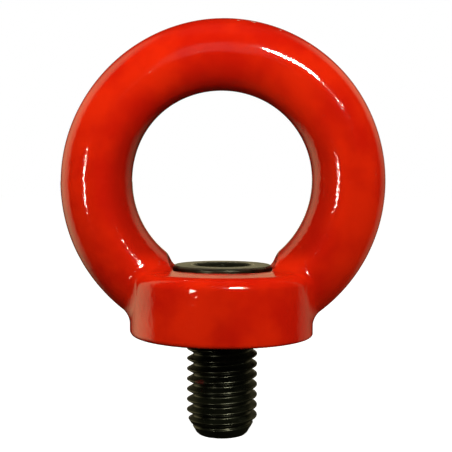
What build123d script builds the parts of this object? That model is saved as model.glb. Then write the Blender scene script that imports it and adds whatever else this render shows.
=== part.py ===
from build123d import *
import math
import os

# Swivel eye bolt, M12. Millimetres. The ring stands in the XZ plane, so its hole runs along Y.
# The origin is on the screw's axis, in the plane that the collar seats on, and +Z points up to the ring.

# Eye: the ring, forged in one piece with the collar
RING_RADIUS = 21.4            # to the centre of the ring's round section
SECTION_RADIUS = 6.1          # the round section
ARM_ROOT_HEIGHT = 3.22        # where the ring's outer line meets the collar's wall, above the seat
COLLAR_RADIUS = 15.55
COLLAR_TOP_ROUNDING = 1.9
COLLAR_FOOT_ROUNDING = 1.3
ARM_BLEND = 2.0               # where the ring's arms grow out of the collar
FLOOR_THICKNESS = 2.4         # web between the head's pocket and the snap ring's pocket
POCKET_CORNER = 0.6           # chamfer in the bottom corner of the head's pocket
POCKET_MOUTH_ROUNDING = 0.4

# Screw, M12 coarse, with a plain shoulder that the eye turns on
THREAD_RADIUS = 6.0
THREAD_PITCH = 1.75
THREAD_REACH = 17.0           # tip of the screw below the seat
THREAD_START_ANGLE = -116     # turns the thread about its axis, in degrees
TIP_LENGTH = 3.0              # pointed lead-in at the tip
TIP_STEP = 1.8                # the tip's flat end is this much smaller in radius than the thread
RELIEF_LENGTH = 1.3           # undercut between the shoulder and the first thread
RELIEF_DEPTH = 0.1            # how far the undercut goes below the thread's root
SHOULDER_STEP = 1.0           # the shoulder is this much larger in radius than the thread
HEAD_OVERHANG = 1.45          # the head is this much larger in radius than the shoulder
HEAD_HEIGHT = 7.25
HEAD_PROUD = 0.55             # top of the head above the collar
HEAD_CHAMFER = 0.35
SCREW_EDGE_BREAK = 0.3        # chamfers on the shoulder's and the head's lower edges

# Hexagon socket in the screw's head
SOCKET_ACROSS_FLATS = 8.0
SOCKET_DEPTH = 5.0
SOCKET_MOUTH_STEP = 0.6       # the lead-in cone is this much larger in radius than the hexagon's corners
SOCKET_MOUTH_ANGLE = math.radians(60)  # half angle of the lead-in cone
DRILL_POINT_ANGLE = math.radians(59)   # half angle of the drilled cone under the hexagon

# Snap ring that keeps the screw in the eye
SNAP_RING_THICKNESS = 1.0
SNAP_RING_WIDTH = 1.7
SNAP_RING_GAP = 3.0           # opening of the split
SNAP_RING_HEIGHT = 0.6        # its underside above the seat
SNAP_GROOVE_DEPTH = 0.7       # groove in the shoulder

# Clearances
SWIVEL_CLEARANCE = 0.08       # radial, between the shoulder and the bore
SWIVEL_PLAY = 0.3             # axial, under the head
SNAP_RING_PLAY = 0.3          # axial, over the snap ring
SNAP_GROOVE_PLAY = 0.05       # the groove is this much wider than the snap ring on each side
SNAP_RING_ROOM = 0.35         # radial, round the snap ring
HEAD_ROOM = 0.8               # radial, round the head
TOUCH = 0.01                  # places closer than this count as the same place

# The screw's radii, and what the eye takes from them
shoulder_radius = THREAD_RADIUS + SHOULDER_STEP
head_radius = shoulder_radius + HEAD_OVERHANG
groove_radius = shoulder_radius - SNAP_GROOVE_DEPTH
snap_outer_radius = groove_radius + SNAP_RING_WIDTH
bore_radius = shoulder_radius + SWIVEL_CLEARANCE
snap_pocket_radius = snap_outer_radius + SNAP_RING_ROOM
pocket_radius = head_radius + HEAD_ROOM

# Heights, from the seat up
snap_top = SNAP_RING_HEIGHT + SNAP_RING_THICKNESS
snap_pocket_depth = snap_top + SNAP_RING_PLAY
pocket_floor = snap_pocket_depth + FLOOR_THICKNESS
head_bottom = pocket_floor + SWIVEL_PLAY
head_top = head_bottom + HEAD_HEIGHT
collar_height = head_top - HEAD_PROUD
ring_height = ARM_ROOT_HEIGHT + math.sqrt((RING_RADIUS + SECTION_RADIUS) ** 2 - COLLAR_RADIUS ** 2)

# Metric thread form: 60 degree flanks, root cut to 17/24 of the sharp triangle's height, 1/8 pitch flats
thread_flank = math.radians(30)
thread_depth = THREAD_PITCH / (2 * math.tan(thread_flank)) * 17 / 24
thread_root_radius = THREAD_RADIUS - thread_depth
thread_root_half_width = THREAD_PITCH / 16
thread_overcut = THREAD_PITCH / 8
relief_radius = thread_root_radius - RELIEF_DEPTH


def rod(radius, bottom, top):
    """Solid round bar on the screw's axis between two heights."""
    return Pos(0, 0, bottom) * Cylinder(radius, top - bottom, align=(Align.CENTER, Align.CENTER, Align.MIN))


def turned(points):
    """Solid of revolution about the screw's axis, from the (radius, height) points of its outline."""
    outline = Polyline(*[(radius, 0, height) for radius, height in points], close=True)
    return revolve(make_face(outline), Axis.Z, 360)


def collar():
    """Round collar with its upper edge rounded."""
    body = rod(COLLAR_RADIUS, 0, collar_height)
    return fillet(body.edges().sort_by(Axis.Z)[-1], COLLAR_TOP_ROUNDING)


def ring():
    """The load ring, cut off at the seat."""
    whole = Pos(0, 0, ring_height) * Rot(90, 0, 0) * Torus(RING_RADIUS, SECTION_RADIUS)
    return split(whole, Plane.XY, keep=Keep.TOP)


def forging():
    """Ring and collar in one piece, with the blends between them and the rounded foot."""
    joined = collar() + ring()
    seams = joined.edges().filter_by(GeomType.BSPLINE)
    joined = fillet(seams, ARM_BLEND)
    foot = joined.edges().filter_by(GeomType.CIRCLE).sort_by(Axis.Z)[0]
    return fillet(foot, COLLAR_FOOT_ROUNDING)


def head_pocket():
    """The room for the screw's head, open upwards into the ring's hole."""
    return turned([
        (0, pocket_floor),
        (pocket_radius - POCKET_CORNER, pocket_floor),
        (pocket_radius, pocket_floor + POCKET_CORNER),
        (pocket_radius, ring_height),
        (0, ring_height),
    ])


def is_pocket_mouth(edge):
    """Whether an edge is where the head's pocket comes out through the collar's top or the arms."""
    on_wall = all(abs(math.hypot((edge @ t).X, (edge @ t).Y) - pocket_radius) < TOUCH for t in (0, 0.5, 1))
    return on_wall and edge.bounding_box().min.Z > collar_height - TOUCH


def eye_body():
    """The forging, machined for the screw's head, its shoulder and the snap ring."""
    snap_pocket = rod(snap_pocket_radius, 0, snap_pocket_depth)
    bore = rod(bore_radius, 0, ring_height)
    body = forging() - head_pocket() - snap_pocket - bore
    mouth = [edge for edge in body.edges() if is_pocket_mouth(edge)]
    return fillet(mouth, POCKET_MOUTH_ROUNDING)


def thread_groove(bottom, top):
    """Helical groove of the thread, from one height to another, open outwards past the crests."""
    outer_radius = THREAD_RADIUS + thread_overcut
    outer_half_width = thread_root_half_width + (outer_radius - thread_root_radius) * math.tan(thread_flank)
    outline = Polyline(
        (outer_radius, 0, bottom - outer_half_width),
        (thread_root_radius, 0, bottom - thread_root_half_width),
        (thread_root_radius, 0, bottom + thread_root_half_width),
        (outer_radius, 0, bottom + outer_half_width),
        close=True,
    )
    path = Helix(THREAD_PITCH, top - bottom, THREAD_RADIUS, center=(0, 0, bottom))
    return Rot(0, 0, THREAD_START_ANGLE) * sweep(make_face(outline), path=path, is_frenet=True)


def shank_envelope():
    """What the thread is kept inside: the undercut under the shoulder, and the lead-in at the tip."""
    outer_radius = THREAD_RADIUS + thread_overcut
    lead_in_slope = TIP_LENGTH / TIP_STEP
    return turned([
        (0, -THREAD_REACH),
        (THREAD_RADIUS - TIP_STEP, -THREAD_REACH),
        (outer_radius, (TIP_STEP + thread_overcut) * lead_in_slope - THREAD_REACH),
        (outer_radius, -RELIEF_LENGTH),
        (relief_radius, -RELIEF_LENGTH),
        (relief_radius, 0),
        (0, 0),
    ])


def threaded_shank():
    """The right-hand thread below the seat, its groove running out at both ends."""
    groove = thread_groove(-THREAD_REACH - THREAD_PITCH, -RELIEF_LENGTH + THREAD_PITCH / 2)
    return (rod(THREAD_RADIUS, -THREAD_REACH, 0) - groove) & shank_envelope()


def head_and_shoulder():
    """Head, and the shoulder with the snap ring's groove."""
    groove_bottom = SNAP_RING_HEIGHT - SNAP_GROOVE_PLAY
    groove_top = snap_top + SNAP_GROOVE_PLAY
    return turned([
        (0, 0),
        (shoulder_radius - SCREW_EDGE_BREAK, 0),
        (shoulder_radius, SCREW_EDGE_BREAK),
        (shoulder_radius, groove_bottom),
        (groove_radius, groove_bottom),
        (groove_radius, groove_top),
        (shoulder_radius, groove_top),
        (shoulder_radius, head_bottom),
        (head_radius - SCREW_EDGE_BREAK, head_bottom),
        (head_radius, head_bottom + SCREW_EDGE_BREAK),
        (head_radius, head_top - HEAD_CHAMFER),
        (head_radius - HEAD_CHAMFER, head_top),
        (0, head_top),
    ])


def key_socket():
    """Hexagon socket, with the key's lead-in cone at its mouth and the drilled cone at its bottom."""
    flat = SOCKET_ACROSS_FLATS / 2
    corner = flat / math.cos(math.radians(30))
    bottom = head_top - SOCKET_DEPTH
    mouth_radius = corner + SOCKET_MOUTH_STEP
    mouth_depth = mouth_radius / math.tan(SOCKET_MOUTH_ANGLE)
    hexagon = extrude(Pos(0, 0, bottom) * RegularPolygon(corner, 6), SOCKET_DEPTH)
    drilled = turned([(0, bottom), (flat, bottom), (0, bottom - flat / math.tan(DRILL_POINT_ANGLE))])
    mouth = turned([(0, head_top), (mouth_radius, head_top), (0, head_top - mouth_depth)])
    return hexagon + drilled + mouth


def socket_screw():
    """The screw that holds the eye to the load, in one piece."""
    return head_and_shoulder() + threaded_shank() - key_socket()


def snap_ring():
    """Flat split ring in the shoulder's groove, its split towards +Y."""
    section = make_face(Polyline(
        (groove_radius, 0, SNAP_RING_HEIGHT),
        (snap_outer_radius, 0, SNAP_RING_HEIGHT),
        (snap_outer_radius, 0, snap_top),
        (groove_radius, 0, snap_top),
        close=True,
    ))
    gap_angle = math.degrees(SNAP_RING_GAP / snap_outer_radius)
    return Rot(0, 0, 90 + gap_angle / 2) * revolve(section, Axis.Z, 360 - gap_angle)


os.makedirs("parts", exist_ok=True)
export_step(eye_body(), "parts/eye_body.step")
export_step(socket_screw(), "parts/socket_screw.step")
export_step(snap_ring(), "parts/snap_ring.step")
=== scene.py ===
import math

import bmesh
import bpy
import numpy as np
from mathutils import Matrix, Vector


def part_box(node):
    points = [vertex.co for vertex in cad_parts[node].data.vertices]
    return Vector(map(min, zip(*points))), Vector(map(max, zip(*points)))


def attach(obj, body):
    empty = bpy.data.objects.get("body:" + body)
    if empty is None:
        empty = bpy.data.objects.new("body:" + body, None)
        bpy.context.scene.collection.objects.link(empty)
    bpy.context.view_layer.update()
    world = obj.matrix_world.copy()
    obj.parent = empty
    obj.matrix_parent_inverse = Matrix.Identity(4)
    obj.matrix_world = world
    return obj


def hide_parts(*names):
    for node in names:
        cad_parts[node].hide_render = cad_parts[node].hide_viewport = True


bl_info = {
    "name": "Swivel Eye Bolt",
    "version": (1, 0, 0),
    "blender": (4, 5, 0),
    "location": "3D View > Sidebar > Eye Bolt",
    "description": "Finished looks for a forged swivel eye on a black socket screw",
    "category": "Add Mesh",
}

MM = 0.001
WELD_DISTANCE = 0.001 * MM

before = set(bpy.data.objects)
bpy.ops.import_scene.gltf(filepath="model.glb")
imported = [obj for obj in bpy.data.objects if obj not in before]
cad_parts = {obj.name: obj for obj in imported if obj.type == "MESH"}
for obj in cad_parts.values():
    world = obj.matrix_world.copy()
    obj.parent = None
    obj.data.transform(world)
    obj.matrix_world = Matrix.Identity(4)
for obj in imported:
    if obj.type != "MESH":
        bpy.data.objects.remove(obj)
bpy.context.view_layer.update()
eye_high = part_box("eye_body")[1]
screw_low, screw_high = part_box("socket_screw")
clip_low, clip_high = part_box("snap_ring")
HEAD_RADIUS = screw_high.x
HEAD_TOP = screw_high.z
RING_HEIGHT = eye_high.z - eye_high.x


# ---------------------------------------------------------------- settings

def length(name, description, default):
    """A size in metres, shown in the scene's own unit."""
    return bpy.props.FloatProperty(
        name=name, description=description, default=default, subtype="DISTANCE", unit="LENGTH", precision=5
    )


def rotation(name, description, degrees):
    """An angle, given in degrees."""
    return bpy.props.FloatProperty(
        name=name, description=description, default=math.radians(degrees), subtype="ANGLE"
    )


def colour(name, description, default):
    """A linear colour."""
    return bpy.props.FloatVectorProperty(
        name=name, description=description, default=default, subtype="COLOR", size=3, min=0.0, max=1.0
    )


class EyeSettings(bpy.types.PropertyGroup):
    """The forged ring and its collar."""

    section_radius: length("Section", "Radius of the ring's round section", 6.1 * MM)
    shoulder_thinning: length("Shoulder Thinning", "How much thinner the ring's left shoulder is", 0.25 * MM)
    arm_fullness: length("Arm Fullness", "How much fuller the ring is inside its right arm", 0.30 * MM)
    collar_offset: length("Collar Offset", "How far to the left the collar is set", 0.15 * MM)
    collar_height: length("Collar Height", "Top of the collar above the seat", 11.3 * MM)
    top_rounding: length("Top Rounding", "Forged rounding of the collar's upper edge", 1.8 * MM)
    land_fall: length("Land Fall", "How far the collar's top falls towards its edge", 0.55 * MM)
    foot_rounding: length("Foot Rounding", "Forged rounding of the collar's lower edge", 0.6 * MM)
    arm_blend: length("Arm Blend", "Radius where the arms grow out of the collar", 1.2 * MM)
    pocket_gap: length("Pocket Gap", "Room round the screw's head", 0.8 * MM)
    pocket_floor: length("Pocket Floor", "Bottom of the head's pocket above the seat", 4.3 * MM)
    mouth_rounding: length("Mouth Rounding", "Paint-softened edge of the head's pocket", 0.45 * MM)
    bore_radius: length("Bore", "Plain bore that turns on the screw's shoulder", 7.08 * MM)
    clip_room_side: length("Clip Room, Side", "Room round the snap ring", 0.35 * MM)
    clip_room_above: length("Clip Room, Above", "Room above the snap ring", 0.3 * MM)
    unevenness: length("Unevenness", "How deep the forged skin dips under its true shape", 0.06 * MM)
    mesh_step: length("Mesh Step", "Size of the faces that the skin is made of", 0.315 * MM)


class ScrewSettings(bpy.types.PropertyGroup):
    """The socket screw and the snap ring that keeps it in the eye."""

    thread_radius: length("Thread", "Radius over the thread's crests", 6.0 * MM)
    pitch: length("Pitch", "Rise of the thread in one turn", 1.75 * MM)
    thread_start: rotation("Thread Start", "Turn of the thread about the screw's axis", -116.0)
    tip_length: length("Tip Length", "Pointed lead-in at the tip", 3.0 * MM)
    tip_radius: length("Tip Radius", "Flat end of the lead-in", 4.2 * MM)
    relief_length: length("Relief", "Undercut between the shoulder and the thread", 1.3 * MM)
    relief_depth: length("Relief Depth", "How far the undercut lies under the thread's root", 0.1 * MM)
    shoulder_radius: length("Shoulder", "Plain bearing that the eye turns on", 7.0 * MM)
    groove_radius: length("Groove", "Bottom of the snap ring's groove", 6.3 * MM)
    head_height: length("Head Height", "Height of the round head", 7.25 * MM)
    lower_break: length("Lower Break", "Turned chamfer of the shoulder and under the head", 0.3 * MM)
    top_break: length("Top Break", "Turned chamfer of the head's upper edge", 0.35 * MM)
    across_flats: length("Key Size", "Hexagon socket across its flats", 8.0 * MM)
    socket_depth: length("Socket Depth", "Depth of the hexagon socket", 5.0 * MM)
    socket_mouth: length("Socket Mouth", "Radius of the key's lead-in cone", 5.2 * MM)
    clip_opening: length("Clip Opening", "Opening of the snap ring's split", 3.0 * MM)


class FinishSettings(bpy.types.PropertyGroup):
    """Colours of the finishes."""

    enamel: colour("Enamel", "Orange-red enamel of the eye", (0.77, 0.019, 0.002))
    enamel_deep: colour("Enamel, Deep", "The enamel where it lies thicker", (0.61, 0.009, 0.0015))
    # Painted shade: a darker enamel for the ring's lower inside, where shade falls.
    enamel_painted_shade: colour("Enamel, Inside", "The enamel low inside the ring", (0.34, 0.006, 0.0015))
    # Painted highlight: a pale warm colour for chips on the rim, which also stands for glints of light.
    glint_chip: colour("Chip", "What shows where the enamel is chipped", (0.55, 0.50, 0.36))
    black_steel: colour("Black Steel", "Oiled black oxide of the screw", (0.013, 0.0145, 0.0075))
    rubbed_steel: colour("Rubbed Steel", "The screw where it is rubbed", (0.12, 0.115, 0.085))
    turned_top: colour("Turned Top", "The flat top of the screw's head", (0.13, 0.135, 0.095))
    worn_mouth: colour("Worn Mouth", "Steel worn bright round the socket's mouth", (0.62, 0.62, 0.48))
    smear: colour("Smear", "Paint left on the thread", (0.10, 0.006, 0.004))
    spring_steel: colour("Spring Steel", "Phosphated snap ring", (0.10, 0.098, 0.092))


class StageSettings(bpy.types.PropertyGroup):
    """Camera and lights."""

    camera_distance: length("Distance", "Camera to the plane of the ring", 153.0 * MM)
    eye_level: length("Eye Level", "Height of the camera above the seat", 25.0 * MM)
    look_at_height: length("Look At", "Height that the camera aims at", 18.41 * MM)
    look_at_side: length("Look Aside", "How far to the right the camera aims", 0.56 * MM)
    lens: bpy.props.FloatProperty(
        name="Lens", description="Focal length", default=71.8, subtype="DISTANCE_CAMERA"
    )
    roll: rotation("Roll", "Tilt of the camera about its line of sight", 0.27)
    brightness: bpy.props.FloatProperty(name="Brightness", description="Strength of every lamp", default=1.0)


# ---------------------------------------------------------------- shared mesh and node helpers

def dress(mesh, material):
    """Gives a mesh smooth shading and one material."""
    for polygon in mesh.polygons:
        polygon.use_smooth = True
    mesh.materials.clear()
    mesh.materials.append(material)


def add_mesh_object(name, mesh, material=None):
    """A piece at the origin, dressed at once if its material is given."""
    mesh.name = name
    if material is not None:
        dress(mesh, material)
    piece = bpy.data.objects.new(name, mesh)
    bpy.context.scene.collection.objects.link(piece)
    return piece


def apply_modifiers(piece):
    """Turns what the modifiers give into the piece's own plain mesh."""
    evaluated = piece.evaluated_get(bpy.context.evaluated_depsgraph_get())
    mesh = bpy.data.meshes.new_from_object(evaluated)
    piece.modifiers.clear()
    old = piece.data
    piece.data = mesh
    bpy.data.meshes.remove(old)
    mesh.name = piece.name


def break_edges(piece, width, segments, least_degrees):
    """Rounds the edges that turn by more than an angle."""
    bevel = piece.modifiers.new("broken_edges", "BEVEL")
    bevel.width = width
    bevel.segments = segments
    bevel.limit_method = "ANGLE"
    bevel.angle_limit = math.radians(least_degrees)
    apply_modifiers(piece)


def lofted_mesh(name, loops):
    """A closed mesh through loops of equally many points, with one face across each end."""
    solid = bmesh.new()
    rings = [[solid.verts.new(spot) for spot in loop] for loop in loops]
    for lower, upper in zip(rings, rings[1:]):
        for i in range(len(lower)):
            j = (i + 1) % len(lower)
            solid.faces.new((lower[i], lower[j], upper[j], upper[i]))
    solid.faces.new(reversed(rings[0]))
    solid.faces.new(rings[-1])
    bmesh.ops.recalc_face_normals(solid, faces=solid.faces)
    mesh = bpy.data.meshes.new(name)
    solid.to_mesh(mesh)
    solid.free()
    return mesh


class NodeTree:
    """Short ways to add and link nodes in a shader or geometry tree."""

    def __init__(self, tree):
        self.tree = tree
        tree.nodes.clear()

    def add(self, kind, inputs=(), **settings):
        """Adds a node. inputs maps a socket's name or number to a value or to another node's output."""
        node = self.tree.nodes.new(kind)
        for key, value in settings.items():
            setattr(node, key, value)
        for key, value in dict(inputs).items():
            self.feed(node.inputs[key], value)
        return node

    def feed(self, socket, value):
        """Sets a socket, or links it if the value is an output."""
        if isinstance(value, bpy.types.NodeSocket):
            self.tree.links.new(value, socket)
        else:
            socket.default_value = value

    def math(self, operation, *values):
        """Output of a Math node."""
        return self.add("ShaderNodeMath", enumerate(values), operation=operation).outputs[0]

    def noise(self, coordinates, size, detail=2.0, roughness=0.5):
        """Noise between about 0 and 1, with features of the given size in metres."""
        node = self.add("ShaderNodeTexNoise", {
            "Vector": coordinates, "Scale": 1 / size, "Detail": detail, "Roughness": roughness,
        })
        return node.outputs[0]

    def ramp(self, value, low, high, to_low=0.0, to_high=1.0):
        """Maps low..high to to_low..to_high, smoothly and clamped."""
        node = self.add("ShaderNodeMapRange", {
            "Value": value, "From Min": low, "From Max": high, "To Min": to_low, "To Max": to_high,
        }, interpolation_type="SMOOTHSTEP")
        return node.outputs["Result"]

    def mix(self, factor, first, second):
        """Mixes two colours: the first at 0, the second at 1."""
        node = self.add("ShaderNodeMix", data_type="RGBA")
        self.feed(node.inputs[0], factor)
        self.feed(node.inputs[6], first)
        self.feed(node.inputs[7], second)
        return node.outputs[2]

    def bump(self, height, distance, strength=1.0, normal=None):
        """Bump of a height between 0 and 1 that stands for a real distance."""
        node = self.add("ShaderNodeBump", {"Height": height, "Distance": distance, "Strength": strength})
        if normal is not None:
            self.feed(node.inputs["Normal"], normal)
        return node.outputs[0]


def new_material(name):
    """A material with an empty node tree, its coordinates and its shader."""
    material = bpy.data.materials.new(name)
    material.use_nodes = True
    tree = NodeTree(material.node_tree)
    coordinates = tree.add("ShaderNodeTexCoord").outputs["Object"]
    shader = tree.add("ShaderNodeBsdfPrincipled")
    tree.add("ShaderNodeOutputMaterial", {"Surface": shader.outputs[0]})
    return material, tree, coordinates, shader


def rgba(values, factor=1.0):
    """A colour with full opacity, made lighter or darker by a factor."""
    return (*(value * factor for value in values), 1.0)


# ---------------------------------------------------------------- finishes

def enamel_material(colours):
    """Glossy orange-red enamel over forged steel, with dust under the film, painted shade low inside the
    ring, and small chips on the ring's rim painted pale as glints.
    """
    material, tree, place, shader = new_material("glossy_enamel")
    out, height = round_the_ring(tree, place)
    patches = tree.noise(place, 9 * MM, detail=3)
    dust = tree.ramp(tree.noise(place, 0.5 * MM, detail=2), 0.66, 0.80, 0.0, 0.35)
    film = tree.mix(tree.ramp(patches, 0.35, 0.68), rgba(colours.enamel), rgba(colours.enamel_deep))
    dusty = tree.mix(dust, film, rgba(colours.enamel_deep))
    # Painted shade: the enamel is darkened low inside the ring, above the collar.
    shaded_inside = tree.mix(painted_shade_low_inside(tree, out, height), dusty, rgba(colours.enamel_painted_shade))
    # Painted highlight: pale chips on the rim near the top, painted as glints.
    chipped_and_glinting = tree.mix(glinting_chipped_rim(tree, place, out, height), shaded_inside, rgba(colours.glint_chip))
    tree.feed(shader.inputs["Base Color"], chipped_and_glinting)
    tree.feed(shader.inputs["Roughness"], tree.ramp(patches, 0.3, 0.7, 0.04, 0.085))
    tree.feed(shader.inputs["Normal"], enamel_skin(tree, place, height))
    shader.inputs["IOR"].default_value = 1.5
    return material


def round_the_ring(tree, place):
    """Distance from the ring's axis, and height above it."""
    down_to_centre = (0.0, 0.0, -RING_HEIGHT)
    without_depth = (1.0, 0.0, 1.0)
    centred = tree.add("ShaderNodeMapping", {"Vector": place, "Location": down_to_centre}).outputs[0]
    flat = tree.add("ShaderNodeVectorMath", {0: centred, 1: without_depth}, operation="MULTIPLY")
    out = tree.add("ShaderNodeVectorMath", {0: flat.outputs[0]}, operation="LENGTH").outputs["Value"]
    return out, tree.add("ShaderNodeSeparateXYZ", {0: centred}).outputs[2]


def painted_shade_low_inside(tree, out, height):
    """Mask of painted shade on the ring's skin that faces the hole in its lower part, above the collar."""
    facing_hole = tree.ramp(out, 17 * MM, 20.5 * MM, 0.62, 0.0)
    lower_part = tree.ramp(height, 4 * MM, 14 * MM, 1.0, 0.0)
    above_collar = tree.ramp(height, -14 * MM, -11 * MM)
    return tree.math("MULTIPLY", tree.math("MULTIPLY", facing_hole, lower_part), above_collar)


def glinting_chipped_rim(tree, place, out, height):
    """Mask of small chips in the enamel along the outermost line of the ring, near its top, painted pale so
    that they also stand for glints of light.
    """
    rim = tree.ramp(out, eye_high.x - 1.1 * MM, eye_high.x - 0.6 * MM)
    near_top = tree.ramp(height, 20 * MM, 24 * MM)
    rightwards = tree.ramp(tree.add("ShaderNodeSeparateXYZ", {0: place}).outputs[0], -6 * MM, 3 * MM)
    knocked_and_lit = tree.math("MULTIPLY", near_top, rightwards)
    ragged = tree.ramp(tree.noise(place, 1.5 * MM, detail=4, roughness=0.6), 0.62, 0.65)
    return tree.math("MULTIPLY", tree.math("MULTIPLY", rim, knocked_and_lit), ragged)


def enamel_skin(tree, place, height):
    """Orange peel in two sizes, calmer towards the top of the ring, and a few pits."""
    peel = tree.noise(place, 2.6 * MM, detail=1.5, roughness=0.4)
    fine_peel = tree.noise(place, 0.8 * MM, detail=2)
    cells = tree.add("ShaderNodeTexVoronoi", {"Vector": place, "Scale": 1 / (2.4 * MM), "Randomness": 1.0})
    pit = tree.ramp(cells.outputs["Distance"], 0.045, 0.085, 1.0, 0.0)
    calmer_above = tree.ramp(height, 8 * MM, 16 * MM, 1.0, 0.35)
    waves = tree.bump(peel, 0.05 * MM, strength=calmer_above)
    ripples = tree.bump(fine_peel, 0.045 * MM, strength=calmer_above, normal=waves)
    return tree.bump(tree.math("SUBTRACT", 1.0, pit), 0.02 * MM, normal=ripples)


def black_steel_material(colours):
    """Oiled black oxide: near-black with an olive sheen, faint turning marks and rubbed spots."""
    material, tree, place, shader = new_material("black_oxide")
    axes = tree.add("ShaderNodeSeparateXYZ", {0: place}).outputs
    squares = [tree.math("POWER", axes[0], 2.0), tree.math("POWER", axes[1], 2.0)]
    radius = tree.math("SQRT", tree.math("ADD", *squares))
    cloud = tree.noise(place, 3.2 * MM, detail=4, roughness=0.6)
    oxide = tree.mix(tree.ramp(cloud, 0.3, 0.7), rgba(colours.black_steel), rgba(colours.black_steel, 1.9))
    rubbed = tree.ramp(tree.noise(place, 1.1 * MM, detail=5, roughness=0.65), 0.60, 0.74)
    worn = tree.mix(tree.math("MULTIPLY", rubbed, 0.35), oxide, rgba(colours.rubbed_steel))
    on_top = tree.ramp(axes[2], HEAD_TOP - 0.3 * MM, HEAD_TOP - 0.1 * MM)
    topped = tree.mix(tree.math("MULTIPLY", on_top, 0.7), worn, rgba(colours.turned_top))
    keyed = tree.mix(worn_mouth(tree, place, radius, on_top), topped, rgba(colours.worn_mouth))
    smear = paint_smear(tree, place)
    tree.feed(shader.inputs["Base Color"], tree.mix(smear, keyed, rgba(colours.smear)))
    tree.feed(shader.inputs["Metallic"], tree.math("MULTIPLY", tree.math("SUBTRACT", 1.0, smear), 0.75))
    tree.feed(shader.inputs["Roughness"], tree.ramp(cloud, 0.25, 0.75, 0.24, 0.38))
    tool_feed = 0.22 * MM
    turning = tree.math("SINE", tree.math("MULTIPLY", radius, 2 * math.pi / tool_feed))
    marks = tree.bump(turning, 0.0012 * MM, strength=0.6)
    grain = tree.noise(place, 0.28 * MM, detail=3)
    tree.feed(shader.inputs["Normal"], tree.bump(grain, 0.002 * MM, normal=marks))
    shader.inputs["Coat Weight"].default_value = 0.08
    shader.inputs["Coat Roughness"].default_value = 0.22
    return material


def worn_mouth(tree, place, radius, on_top):
    """Mask of the speckled wear that a key leaves round the socket's mouth."""
    from_inside = tree.ramp(radius, 5.0 * MM, 5.2 * MM)
    from_outside = tree.ramp(radius, 5.35 * MM, 5.6 * MM, 1.0, 0.0)
    mouth = tree.math("MULTIPLY", from_inside, from_outside)
    speckle = tree.ramp(tree.noise(place, 0.35 * MM, detail=3), 0.42, 0.62)
    return tree.math("MULTIPLY", tree.math("MULTIPLY", mouth, on_top), speckle)


def paint_smear(tree, place):
    """Mask of a small smear of red paint that was left on the thread."""
    centre = Vector((-3.7, -4.6, -7.6)) * MM
    inner, outer, cover = 1.7 * MM, 2.3 * MM, 0.85
    centred = tree.add("ShaderNodeMapping", {"Vector": place, "Location": -centre})
    away = tree.add("ShaderNodeVectorMath", {0: centred.outputs[0]}, operation="LENGTH").outputs["Value"]
    ragged = tree.math("MULTIPLY", tree.noise(place, 0.7 * MM, detail=4), 2.4 * MM)
    return tree.ramp(tree.math("ADD", away, ragged), inner, outer, cover, 0.0)


def spring_steel_material(colours):
    """Grey phosphated spring steel."""
    material, tree, place, shader = new_material("phosphated_spring_steel")
    cloud = tree.noise(place, 1.4 * MM, detail=4)
    grain = tree.noise(place, 0.12 * MM, detail=3)
    grey = tree.mix(tree.ramp(cloud, 0.3, 0.7), rgba(colours.spring_steel), rgba(colours.spring_steel, 0.6))
    tree.feed(shader.inputs["Base Color"], grey)
    tree.feed(shader.inputs["Roughness"], tree.ramp(grain, 0.3, 0.7, 0.35, 0.55))
    tree.feed(shader.inputs["Normal"], tree.bump(grain, 0.004 * MM))
    shader.inputs["Metallic"].default_value = 0.9
    return material


# ---------------------------------------------------------------- forged eye

def rounded_puck(points, radius, bottom, top, bottom_rounding, top_rounding):
    """Signed distance to an upright round puck with rounded edges."""
    middle = (bottom + top) / 2
    rounding = np.where(points[:, 2] > middle, top_rounding, bottom_rounding)
    out = np.hypot(points[:, 0], points[:, 1]) - radius + rounding
    up = np.abs(points[:, 2] - middle) - (top - bottom) / 2 + rounding
    outside = np.hypot(np.maximum(out, 0), np.maximum(up, 0))
    return outside + np.minimum(np.maximum(out, up), 0) - rounding


def joined(first, second, radius):
    """Union of two distances with a round fillet in the valley."""
    valley = np.hypot(np.maximum(radius - first, 0), np.maximum(radius - second, 0))
    return np.maximum(radius, np.minimum(first, second)) - valley


def cut(body, tool, radius):
    """Body without the tool, with the edge between them rounded."""
    edge = np.hypot(np.maximum(radius + body, 0), np.maximum(radius - tool, 0))
    return np.minimum(-radius, np.maximum(body, -tool)) + edge


def swell(points, wavelength, seed):
    """Gentle unevenness between 0 and 1 that has no direction of its own."""
    rng = np.random.default_rng(seed)
    total = np.zeros(len(points))
    waves = 9
    for _ in range(waves):
        direction = rng.normal(size=3)
        direction *= 2 * math.pi / (wavelength * np.linalg.norm(direction) * rng.uniform(0.7, 1.5))
        total += np.sin(points @ direction + rng.uniform(0, 2 * math.pi))
    return 0.5 + total / (2 * waves)


def lobe(angle, centre, spread):
    """A soft peak of 1 round an angle, with all three in radians."""
    return np.exp(-(((angle - centre) / spread) ** 2))


def uneven_ring(points, s):
    """Signed distance to the ring, forged a little thin at one shoulder and full inside the other arm."""
    left_shoulder, shoulder_spread = 2.36, 0.6
    right_arm, arm_spread = -0.35, 0.7
    sideways, upwards = points[:, 0], points[:, 2] - RING_HEIGHT
    across = np.hypot(sideways, upwards) - (eye_high.x - s.section_radius)
    angle = np.arctan2(upwards, sideways)
    inwards = np.clip(-across / s.section_radius, 0, 1)
    thin = s.shoulder_thinning * lobe(angle, left_shoulder, shoulder_spread)
    full = s.arm_fullness * lobe(angle, right_arm, arm_spread) * inwards
    return np.hypot(across, points[:, 1]) - s.section_radius + thin - full


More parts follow.
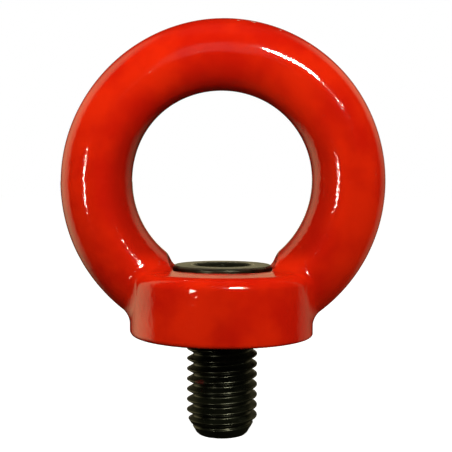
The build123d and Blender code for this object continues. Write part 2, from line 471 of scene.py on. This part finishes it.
def forged_collar(points, s):
    """Signed distance to the collar: a puck with a top that falls towards its edge and an uneven foot."""
    radius = eye_high.y
    foot_change = 0.5
    puck = points + np.array([s.collar_offset, 0, 0])
    foot = s.foot_rounding * (1 - foot_change * puck[:, 0] / radius)
    height = s.collar_height - s.land_fall
    out = np.hypot(puck[:, 0], puck[:, 1])
    lift = s.land_fall * np.clip((radius - out) / (radius - HEAD_RADIUS), 0, 1)
    puck[:, 2] -= np.where(puck[:, 2] > height / 2, lift, 0)
    return rounded_puck(puck, radius, 0, height, foot, s.top_rounding)


def eye_distance(points, s):
    """Signed distance to the forged and machined eye."""
    floor_corner = 0.5 * MM
    clip_corner = 0.1 * MM
    clip_mouth = 0.15 * MM
    bore_mouth = 0.2 * MM
    skin = joined(uneven_ring(points, s), forged_collar(points, s), s.arm_blend)
    least_share = 0.25
    share = np.clip((points[:, 2] - s.collar_height) / s.collar_height, least_share, 1)
    broad, fine = swell(points, 14 * MM, seed=3), swell(points, 4 * MM, seed=8)
    skin = skin + share * s.unevenness * (broad + 0.1 * fine)
    body = np.maximum(skin, -points[:, 2])
    pocket_radius = HEAD_RADIUS + s.pocket_gap
    pocket = rounded_puck(points, pocket_radius, s.pocket_floor, RING_HEIGHT, floor_corner, floor_corner)
    clip_radius = clip_high.x + s.clip_room_side
    clip_top = clip_high.z + s.clip_room_above
    clip_room = rounded_puck(points, clip_radius, -s.pocket_floor, clip_top, 0, clip_corner)
    bore = np.hypot(points[:, 0], points[:, 1]) - s.bore_radius
    bore = np.maximum(bore, points[:, 2] - RING_HEIGHT)
    body = cut(body, pocket, s.mouth_rounding)
    body = cut(body, clip_room, clip_mouth)
    return cut(body, bore, bore_mouth)


def slope(distance, points, step):
    """Gradient of a distance by central differences."""
    columns = []
    for axis in range(3):
        shift = np.zeros(3)
        shift[axis] = step
        columns.append((distance(points + shift) - distance(points - shift)) / (2 * step))
    return np.stack(columns, axis=1)


def settle_on_surface(mesh, distance, rounds):
    """Moves the vertices onto the surface where the distance is zero, and evens out their spacing."""
    evening = 0.5
    slope_step = 0.02 * MM
    least_steepness = 0.2
    count = len(mesh.vertices)
    flat = np.empty(count * 3)
    mesh.vertices.foreach_get("co", flat)
    points = flat.reshape(-1, 3)
    ends = np.empty(len(mesh.edges) * 2, dtype=np.int64)
    mesh.edges.foreach_get("vertices", ends)
    first, second = ends.reshape(-1, 2).T
    neighbours = np.bincount(ends, minlength=count)
    for turn in range(rounds):
        if turn < rounds - 2:
            mean = np.zeros_like(points)
            for axis in range(3):
                mean[:, axis] = np.bincount(first, points[second, axis], count)
                mean[:, axis] += np.bincount(second, points[first, axis], count)
            points = points + evening * (mean / neighbours[:, None] - points)
        gradient = slope(distance, points, slope_step)
        steepness = np.maximum((gradient ** 2).sum(axis=1), least_steepness)
        points = points - gradient * (distance(points) / steepness)[:, None]
    mesh.vertices.foreach_set("co", points.ravel())
    mesh.update()


class EYEBOLT_OT_forged_eye(bpy.types.Operator):
    """Makes the forged ring and collar with their soft blends and the machined pockets"""

    bl_idname = "eyebolt.forged_eye"
    bl_label = "Forged Eye"

    def execute(self, context):
        settings = context.scene.eyebolt_eye
        rounds = 14
        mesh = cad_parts["eye_body"].data.copy()
        weld = bmesh.new()
        weld.from_mesh(mesh)
        bmesh.ops.remove_doubles(weld, verts=weld.verts, dist=WELD_DISTANCE)
        weld.to_mesh(mesh)
        weld.free()
        piece = add_mesh_object("forged_eye", mesh)
        remesh = piece.modifiers.new("even_faces", "REMESH")
        remesh.mode = "VOXEL"
        remesh.voxel_size = settings.mesh_step
        apply_modifiers(piece)
        settle_on_surface(piece.data, lambda points: eye_distance(points, settings), rounds)
        dress(piece.data, enamel_material(context.scene.eyebolt_finish))
        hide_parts("eye_body")
        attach(piece, "eye")
        return {"FINISHED"}


# ---------------------------------------------------------------- screw

def thread_tree():
    """Geometry nodes for a threaded shank whose rows of faces follow the helix."""
    crest_rounding = 0.16 * MM
    root_rounding = 0.22 * MM
    end_break = 0.35 * MM
    runout_slope = 1.6
    seam = 0.004 * MM
    tree = bpy.data.node_groups.new("threaded_shank", "GeometryNodeTree")
    face = tree.interface
    face.new_socket("Geometry", in_out="OUTPUT", socket_type="NodeSocketGeometry")
    sizes = ["Crest Radius", "Root Radius", "Pitch", "Start Angle", "Reach", "Tip Radius", "Tip Length",
             "Relief Length", "Relief Radius"]
    for name in sizes:
        face.new_socket(name, in_out="INPUT", socket_type="NodeSocketFloat")
    for name in ("Columns", "Rows per Turn"):
        face.new_socket(name, in_out="INPUT", socket_type="NodeSocketInt")
    face.new_socket("Material", in_out="INPUT", socket_type="NodeSocketMaterial")
    g = NodeTree(tree)
    given = g.add("NodeGroupInput").outputs
    m = g.math
    turns = m("ADD", m("DIVIDE", given["Reach"], given["Pitch"]), 2.0)
    rows = m("CEIL", m("MULTIPLY", turns, given["Rows per Turn"]))
    grid = g.add("GeometryNodeMeshGrid", {
        "Size X": 1.0,
        "Size Y": 1.0,
        "Vertices X": m("ADD", given["Columns"], 1.0),
        "Vertices Y": m("ADD", rows, 1.0),
    })
    place = g.add("ShaderNodeSeparateXYZ", {0: g.add("GeometryNodeInputPosition").outputs[0]}).outputs
    around = m("ADD", place[0], 0.5)
    row = m("ROUND", m("MULTIPLY", m("ADD", place[1], 0.5), rows))
    climb = m("DIVIDE", row, given["Rows per Turn"])
    angle = m("ADD", m("MULTIPLY", around, 2 * math.pi), given["Start Angle"])
    free_height = m("SUBTRACT", m("MULTIPLY", m("ADD", climb, m("SUBTRACT", around, 1.0)), given["Pitch"]),
                    given["Reach"])
    height = m("MINIMUM", m("MAXIMUM", free_height, m("MULTIPLY", given["Reach"], -1.0)), 0.0)
    from_crest = m("MULTIPLY", m("ABSOLUTE", m("SUBTRACT", m("FRACT", climb), 0.5)), given["Pitch"])
    flank = m("ADD", given["Crest Radius"],
              m("MULTIPLY", m("SUBTRACT", m("DIVIDE", given["Pitch"], 16.0), from_crest), math.sqrt(3)))
    crest = m("SMOOTH_MIN", flank, given["Crest Radius"], crest_rounding)
    form = m("SMOOTH_MAX", crest, given["Root Radius"], root_rounding)
    up_the_tip = m("ADD", height, given["Reach"])
    widening = m("DIVIDE", m("SUBTRACT", given["Crest Radius"], given["Tip Radius"]), given["Tip Length"])
    lead_in = m("ADD", given["Tip Radius"], m("MULTIPLY", up_the_tip, widening))
    short_of_break = m("MAXIMUM", 0.0, m("SUBTRACT", end_break, up_the_tip))
    end_round = m("SUBTRACT", lead_in, m("MULTIPLY", 0.5, short_of_break))
    under_relief = m("MAXIMUM", 0.0, m("SUBTRACT", m("MULTIPLY", height, -1.0), given["Relief Length"]))
    runout = m("ADD", given["Relief Radius"], m("MULTIPLY", under_relief, runout_slope))
    radius = m("MINIMUM", m("MINIMUM", form, end_round), runout)
    position = g.add("ShaderNodeCombineXYZ", {
        0: m("MULTIPLY", radius, m("COSINE", angle)),
        1: m("MULTIPLY", radius, m("SINE", angle)),
        2: height,
    }).outputs[0]
    wall = g.add("GeometryNodeSetPosition", {"Geometry": grid.outputs["Mesh"], "Position": position})
    welded = g.add("GeometryNodeMergeByDistance", {"Geometry": wall.outputs[0], "Distance": seam})
    shaded = g.add("GeometryNodeSetShadeSmooth", {"Geometry": welded.outputs[0]})
    real = g.add("GeometryNodeRealizeInstances", {"Geometry": shaded.outputs[0]})
    painted = g.add("GeometryNodeSetMaterial", {"Geometry": real.outputs[0], "Material": given["Material"]})
    g.add("NodeGroupOutput", {0: painted.outputs[0]})
    return tree


def set_inputs(modifier, values):
    """Sets a geometry nodes modifier's inputs by their names, through each socket's identifier."""
    for item in modifier.node_group.interface.items_tree:
        if item.in_out == "INPUT" and item.name in values:
            modifier[item.identifier] = values[item.name]


def close_ends(piece):
    """Caps the open ends of a shank, each with a ring of faces round its middle."""
    shell = bmesh.new()
    shell.from_mesh(piece.data)
    bmesh.ops.dissolve_degenerate(shell, edges=shell.edges, dist=WELD_DISTANCE)
    rims = [edge for edge in shell.edges if edge.is_boundary]
    caps = bmesh.ops.holes_fill(shell, edges=rims, sides=0)["faces"]
    for cap in caps:
        bmesh.ops.poke(shell, faces=[cap])
    bmesh.ops.recalc_face_normals(shell, faces=shell.faces)
    shell.to_mesh(piece.data)
    shell.free()


class EYEBOLT_OT_threaded_shank(bpy.types.Operator):
    """Makes the metric thread with its lead-in and undercut"""

    bl_idname = "eyebolt.threaded_shank"
    bl_label = "Threaded Shank"

    def execute(self, context):
        s = context.scene.eyebolt_screw
        # A metric screw thread is cut to 17/24 of the height of its sharp triangle.
        depth = s.pitch * math.sqrt(3) / 2 * 17 / 24
        piece = add_mesh_object("threaded_shank", bpy.data.meshes.new("threaded_shank"))
        modifier = piece.modifiers.new("thread", "NODES")
        modifier.node_group = thread_tree()
        set_inputs(modifier, {
            "Crest Radius": s.thread_radius,
            "Root Radius": s.thread_radius - depth,
            "Pitch": s.pitch,
            "Start Angle": s.thread_start,
            "Reach": -screw_low.z,
            "Tip Radius": s.tip_radius,
            "Tip Length": s.tip_length,
            "Relief Length": s.relief_length,
            "Relief Radius": s.thread_radius - depth - s.relief_depth,
            "Columns": 120,
            "Rows per Turn": 24,
            "Material": black_steel(context),
        })
        apply_modifiers(piece)
        close_ends(piece)
        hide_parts("socket_screw")
        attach(piece, "screw")
        return {"FINISHED"}


def black_steel(context):
    """The screw's finish, made once for all of its pieces."""
    return bpy.data.materials.get("black_oxide") or black_steel_material(context.scene.eyebolt_finish)


def screw_head_rings(s, segments):
    """Angles of the rings of points that the head and shoulder are made of, and their radii and heights.

    The rings run from under the shoulder, up over the head and down to the end of the socket.
    """
    angles = np.arange(segments) * 2 * math.pi / segments
    flat = s.across_flats / 2
    corner_reach = 1.135 * flat
    hexagon = flat / np.cos((angles + math.pi / 6) % (math.pi / 3) - math.pi / 6)
    hexagon = np.minimum(hexagon, corner_reach)
    groove_slack = 0.05 * MM
    groove_floor = clip_low.z - groove_slack
    groove_roof = clip_high.z + groove_slack
    under_head = HEAD_TOP - s.head_height
    floor = HEAD_TOP - s.socket_depth
    mouth_slope = math.tan(math.radians(30))
    outline = [
        (0.4 * s.shoulder_radius, 0),
        (s.shoulder_radius - s.lower_break, 0),
        (s.shoulder_radius, s.lower_break),
        (s.shoulder_radius, groove_floor),
        (s.groove_radius, groove_floor),
        (s.groove_radius, groove_roof),
        (s.shoulder_radius, groove_roof),
        (s.shoulder_radius, under_head),
        (HEAD_RADIUS - s.lower_break, under_head),
        (HEAD_RADIUS, under_head + s.lower_break),
        (HEAD_RADIUS, HEAD_TOP - s.top_break),
        (HEAD_RADIUS - s.top_break, HEAD_TOP),
        (s.socket_mouth, HEAD_TOP),
        (hexagon, HEAD_TOP - (s.socket_mouth - hexagon) * mouth_slope),
        (hexagon, floor),
        (0.98 * flat, floor),
        (0.04 * flat, floor - 0.58 * flat),
    ]
    circle = np.ones(segments)
    return angles, [(radius * circle, height * circle) for radius, height in outline]


def with_support_rings(rings, margin):
    """Adds a ring close to both ends of every long step, so that flats stay flat beside their edges."""
    supported = [rings[0]]
    for (radius, height), (next_radius, next_height) in zip(rings, rings[1:]):
        reach = np.hypot(next_radius - radius, next_height - height).mean()
        if reach > 4 * margin:
            for part in (margin / reach, 1 - margin / reach):
                between = (radius + part * (next_radius - radius), height + part * (next_height - height))
                supported.append(between)
        supported.append((next_radius, next_height))
    return supported


class EYEBOLT_OT_screw_head(bpy.types.Operator):
    """Makes the screw's round head with its hexagon socket, and the shoulder with the clip's groove"""

    bl_idname = "eyebolt.screw_head"
    bl_label = "Screw Head"

    def execute(self, context):
        angles, rings = screw_head_rings(context.scene.eyebolt_screw, segments=192)
        loops = [
            zip(radius * np.cos(angles), radius * np.sin(angles), height)
            for radius, height in with_support_rings(rings, margin=0.12 * MM)
        ]
        piece = add_mesh_object("screw_head", lofted_mesh("screw_head", loops), black_steel(context))
        break_edges(piece, width=0.07 * MM, segments=2, least_degrees=28)
        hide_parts("socket_screw")
        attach(piece, "screw")
        return {"FINISHED"}


class EYEBOLT_OT_snap_ring(bpy.types.Operator):
    """Makes the split ring that keeps the screw in the eye"""

    bl_idname = "eyebolt.snap_ring"
    bl_label = "Snap Ring"

    def execute(self, context):
        s = context.scene.eyebolt_screw
        inner, outer = s.groove_radius, clip_high.x
        low, high = clip_low.z, clip_high.z
        steps = 96
        half_gap = s.clip_opening / outer / 2
        angles = np.linspace(math.pi / 2 + half_gap, math.pi * 5 / 2 - half_gap, steps)
        corners = [(inner, low), (outer, low), (outer, high), (inner, high)]
        loops = [[(r * math.cos(a), r * math.sin(a), z) for r, z in corners] for a in angles]
        finish = spring_steel_material(context.scene.eyebolt_finish)
        piece = add_mesh_object("split_clip", lofted_mesh("split_clip", loops), finish)
        break_edges(piece, width=0.1 * MM, segments=3, least_degrees=30)
        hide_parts("snap_ring")
        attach(piece, "screw")
        return {"FINISHED"}


# ---------------------------------------------------------------- stage

GLOSS_TINT = (1.0, 0.93, 0.78)
WHITE = (1.0, 1.0, 1.0, 1.0)

# Each lamp's name, degrees to the right of the camera's line of sight, degrees up, distance, width and
# height in metres, power in watts, and whether it shows in the gloss or lights the paint.
LAMPS = (
    ("left_strip", -35, 1.5, 0.55, (0.026, 0.12), 0.75, "gloss"),
    ("right_strip", 19, 29, 0.60, (0.17, 0.058), 6.0, "gloss"),
    ("right_spark", 32, 21, 0.60, (0.014, 0.014), 0.15, "gloss"),
    ("overhead", -30, 85, 0.16, (0.1, 0.1), 0.072, "paint"),
    ("near_fill", -4, 26, 0.111, (0.05, 0.05), 0.114, "paint"),
    ("left_fill", -90, 6, 0.70, (0.12, 0.12), 1.1, "paint"),
    ("right_fill", 90, 4, 0.70, (0.12, 0.12), 2.4, "paint"),
)


def aim(thing, place, target):
    """Puts a lamp or camera at a place, looking at a target."""
    thing.location = place
    thing.rotation_euler = (Vector(target) - Vector(place)).to_track_quat("-Z", "Y").to_euler()


def add_lamp(name, side_degrees, up_degrees, distance, size, power, target, serves):
    """A soft lamp, placed by its angles from the camera's line of sight."""
    side, up = math.radians(side_degrees), math.radians(up_degrees)
    lamp = bpy.data.lights.new(name, "AREA")
    lamp.shape = "RECTANGLE"
    lamp.size, lamp.size_y = size
    lamp.energy = power
    if serves == "gloss":
        lamp.color = GLOSS_TINT
    thing = bpy.data.objects.new(name, lamp)
    thing.visible_glossy = serves == "gloss"
    thing.visible_diffuse = serves == "paint"
    thing.visible_camera = False
    bpy.context.scene.collection.objects.link(thing)
    direction = Vector((math.sin(side) * math.cos(up), -math.cos(side) * math.cos(up), math.sin(up)))
    aim(thing, Vector(target) + direction * distance, target)


def studio_world():
    """A dim room with pale warm bands behind the bolt, and a white backdrop that only the camera sees.

    Bearings are in radians from the camera's side, to the right. Heights and depths are between -1 and 1.
    """
    warm = (0.95, 0.82, 0.46, 1.0)
    dimmest = 0.015
    world = bpy.data.worlds.new("studio")
    bpy.context.scene.world = world
    world.use_nodes = True
    tree = NodeTree(world.node_tree)
    way = tree.add("ShaderNodeSeparateXYZ", {0: tree.add("ShaderNodeTexCoord").outputs["Generated"]}).outputs
    side, depth, up = way[0], way[1], way[2]
    bearing = tree.math("ARCTAN2", side, tree.math("MULTIPLY", depth, -1.0))
    left = tree.math("MULTIPLY", tree.ramp(bearing, -2.75, -2.1), tree.ramp(bearing, -1.8, -1.55, 1.2, 0.0))
    right = tree.math("MULTIPLY", tree.ramp(bearing, 1.8, 2.1), tree.ramp(bearing, 2.35, 2.8, 1.0, 0.0))
    right = tree.math("MULTIPLY", right, tree.ramp(up, 0.0, 0.5, 0.3, 0.8))
    level_only = tree.math("MULTIPLY", tree.ramp(up, 0.65, 0.92, 1.0, 0.06), tree.ramp(up, -0.6, -0.25))
    panels = tree.math("MULTIPLY", tree.math("ADD", left, right), level_only)
    low = tree.math("MULTIPLY", tree.ramp(up, 0.3, 0.45, 1.0, 0.0), tree.ramp(up, -0.02, 0.02))
    narrow = tree.ramp(tree.math("ABSOLUTE", side), 0.12, 0.26, 1.0, 0.2)
    far = tree.ramp(depth, 0.7, 0.95, 0.0, 0.5)
    strip = tree.math("MULTIPLY", far, tree.math("MULTIPLY", low, narrow))
    level = tree.math("MAXIMUM", tree.math("MAXIMUM", panels, strip), dimmest)
    seen = tree.add("ShaderNodeLightPath").outputs["Is Camera Ray"]
    room = tree.add("ShaderNodeBackground", {"Color": warm, "Strength": level})
    backdrop = tree.add("ShaderNodeBackground", {"Color": WHITE, "Strength": 1.0})
    both = tree.add("ShaderNodeMixShader", {0: seen, 1: room.outputs[0], 2: backdrop.outputs[0]})
    tree.add("ShaderNodeOutputWorld", {"Surface": both.outputs[0]})


def pale_floor_material():
    """A matt floor that looks nearly white to the camera and dark to everything else."""
    dim, pale = (0.04, 0.04, 0.04, 1.0), (0.60, 0.60, 0.60, 1.0)
    glow = 0.96
    material, tree, _, shader = new_material("pale_floor")
    seen = tree.add("ShaderNodeLightPath").outputs["Is Camera Ray"]
    tree.feed(shader.inputs["Base Color"], tree.mix(seen, dim, pale))
    tree.feed(shader.inputs["Emission Strength"], tree.ramp(seen, 0.0, 1.0, 0.0, glow))
    shader.inputs["Emission Color"].default_value = WHITE
    shader.inputs["Roughness"].default_value = 0.9
    shader.inputs["Specular IOR Level"].default_value = 0.0
    return material


class EYEBOLT_OT_stage(bpy.types.Operator):
    """Sets up the pale floor, the studio light and the camera"""

    bl_idname = "eyebolt.stage"
    bl_label = "Stage"

    def execute(self, context):
        s = context.scene.eyebolt_stage
        half = 3.0
        z = screw_low.z
        corners = [(-half, -half, z), (half, -half, z), (half, half, z), (-half, half, z)]
        floor_mesh = bpy.data.meshes.new("floor")
        floor_mesh.from_pydata(corners, [], [(0, 1, 2, 3)])
        floor = add_mesh_object("floor", floor_mesh, pale_floor_material())
        floor.visible_glossy = False
        studio_world()
        target = (0.0, 0.0, eye_high.z / 2)
        for name, side, up, distance, size, power, serves in LAMPS:
            add_lamp(name, side, up, distance, size, power * s.brightness, target, serves)
        camera = bpy.data.objects.new("camera", bpy.data.cameras.new("camera"))
        context.scene.collection.objects.link(camera)
        camera.data.lens = s.lens
        camera.data.clip_start = 0.01
        stand = (s.look_at_side, -s.camera_distance, s.eye_level)
        aim(camera, stand, (s.look_at_side, 0.0, s.look_at_height))
        camera.rotation_euler.rotate_axis("Z", s.roll)
        context.scene.camera = camera
        context.scene.view_settings.view_transform = "Standard"
        return {"FINISHED"}


# ---------------------------------------------------------------- panel and registration

PIECES = (
    EYEBOLT_OT_forged_eye,
    EYEBOLT_OT_threaded_shank,
    EYEBOLT_OT_screw_head,
    EYEBOLT_OT_snap_ring,
    EYEBOLT_OT_stage,
)
SETTINGS = {
    "eyebolt_eye": EyeSettings,
    "eyebolt_screw": ScrewSettings,
    "eyebolt_finish": FinishSettings,
    "eyebolt_stage": StageSettings,
}


class EYEBOLT_PT_panel(bpy.types.Panel):
    """The eye bolt's settings and the buttons that make its pieces"""

    bl_label = "Eye Bolt"
    bl_idname = "EYEBOLT_PT_panel"
    bl_space_type = "VIEW_3D"
    bl_region_type = "UI"
    bl_category = "Eye Bolt"

    def draw(self, context):
        for name, group in SETTINGS.items():
            box = self.layout.box()
            for key in group.__annotations__:
                box.prop(getattr(context.scene, name), key)
        for piece in PIECES:
            self.layout.operator(piece.bl_idname)


def register():
    for kind in (*SETTINGS.values(), *PIECES, EYEBOLT_PT_panel):
        bpy.utils.register_class(kind)
    for name, group in SETTINGS.items():
        setattr(bpy.types.Scene, name, bpy.props.PointerProperty(type=group))


def unregister():
    for name in SETTINGS:
        delattr(bpy.types.Scene, name)
    for kind in reversed((*SETTINGS.values(), *PIECES, EYEBOLT_PT_panel)):
        bpy.utils.unregister_class(kind)


def main():
    """Makes every piece."""
    register()
    bpy.ops.eyebolt.stage()
    bpy.ops.eyebolt.forged_eye()
    bpy.ops.eyebolt.threaded_shank()
    bpy.ops.eyebolt.screw_head()
    bpy.ops.eyebolt.snap_ring()


if __name__ == "__main__":
    main()
